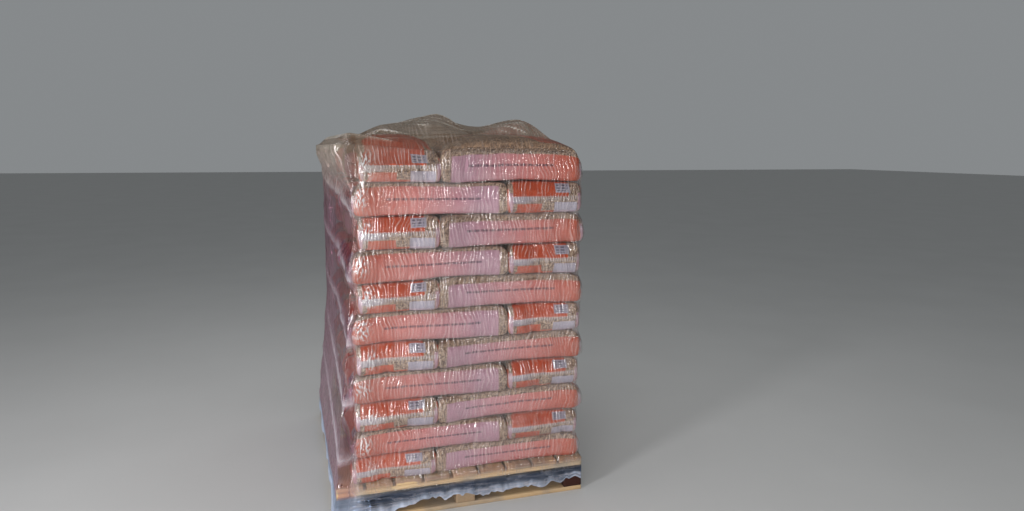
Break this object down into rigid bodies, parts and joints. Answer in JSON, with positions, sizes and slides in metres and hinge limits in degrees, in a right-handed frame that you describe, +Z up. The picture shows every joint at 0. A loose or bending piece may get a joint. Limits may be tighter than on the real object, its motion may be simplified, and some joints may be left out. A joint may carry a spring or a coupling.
{
  "type": "pallet of sacks",
  "caption": "Wooden block pallet loaded with interlocking layers of filled plastic sacks of wood pellets under a clear stretch hood.",
  "frame": {"origin": "on the floor, under the middle of the pallet", "axes": "+Z up; -Y is the front, the 1000 mm side that the picture shows; +X to the right along that side"},
  "size_m": [1.006, 1.206, 1.55],
  "materials": {
    "pallet_wood": "rough sawn",
    "block_wood": "rough sawn, weathered",
    "sack_film": "semi-gloss printed film",
    "clear_film": "clear glossy film"
  },
  "bodies": {
    "root": {"deck_board_1": "pallet_wood", "deck_board_2": "pallet_wood", "deck_board_3": "pallet_wood", "deck_board_4": "pallet_wood", "deck_board_5": "pallet_wood", "deck_board_6": "pallet_wood", "deck_board_7": "pallet_wood", "deck_board_8": "pallet_wood", "deck_board_9": "pallet_wood", "stringer_front": "pallet_wood", "stringer_middle": "pallet_wood", "stringer_back": "pallet_wood", "block_front_left": "block_wood", "block_front_middle": "block_wood", "block_front_right": "block_wood", "block_middle_left": "block_wood", "block_middle_middle": "block_wood", "block_middle_right": "block_wood", "block_back_left": "block_wood", "block_back_middle": "block_wood", "block_back_right": "block_wood", "base_board_front": "pallet_wood", "base_board_back": "pallet_wood", "base_runner_left": "pallet_wood", "base_runner_middle": "pallet_wood", "base_runner_right": "pallet_wood", "sack_layer_01": "sack_film", "sack_layer_02": "sack_film", "sack_layer_03": "sack_film", "sack_layer_04": "sack_film", "sack_layer_05": "sack_film", "sack_layer_06": "sack_film", "sack_layer_07": "sack_film", "sack_layer_08": "sack_film", "sack_layer_09": "sack_film", "sack_layer_10": "sack_film", "sack_layer_11": "sack_film", "stretch_hood": "clear_film"}
  },
  "joints": []
}
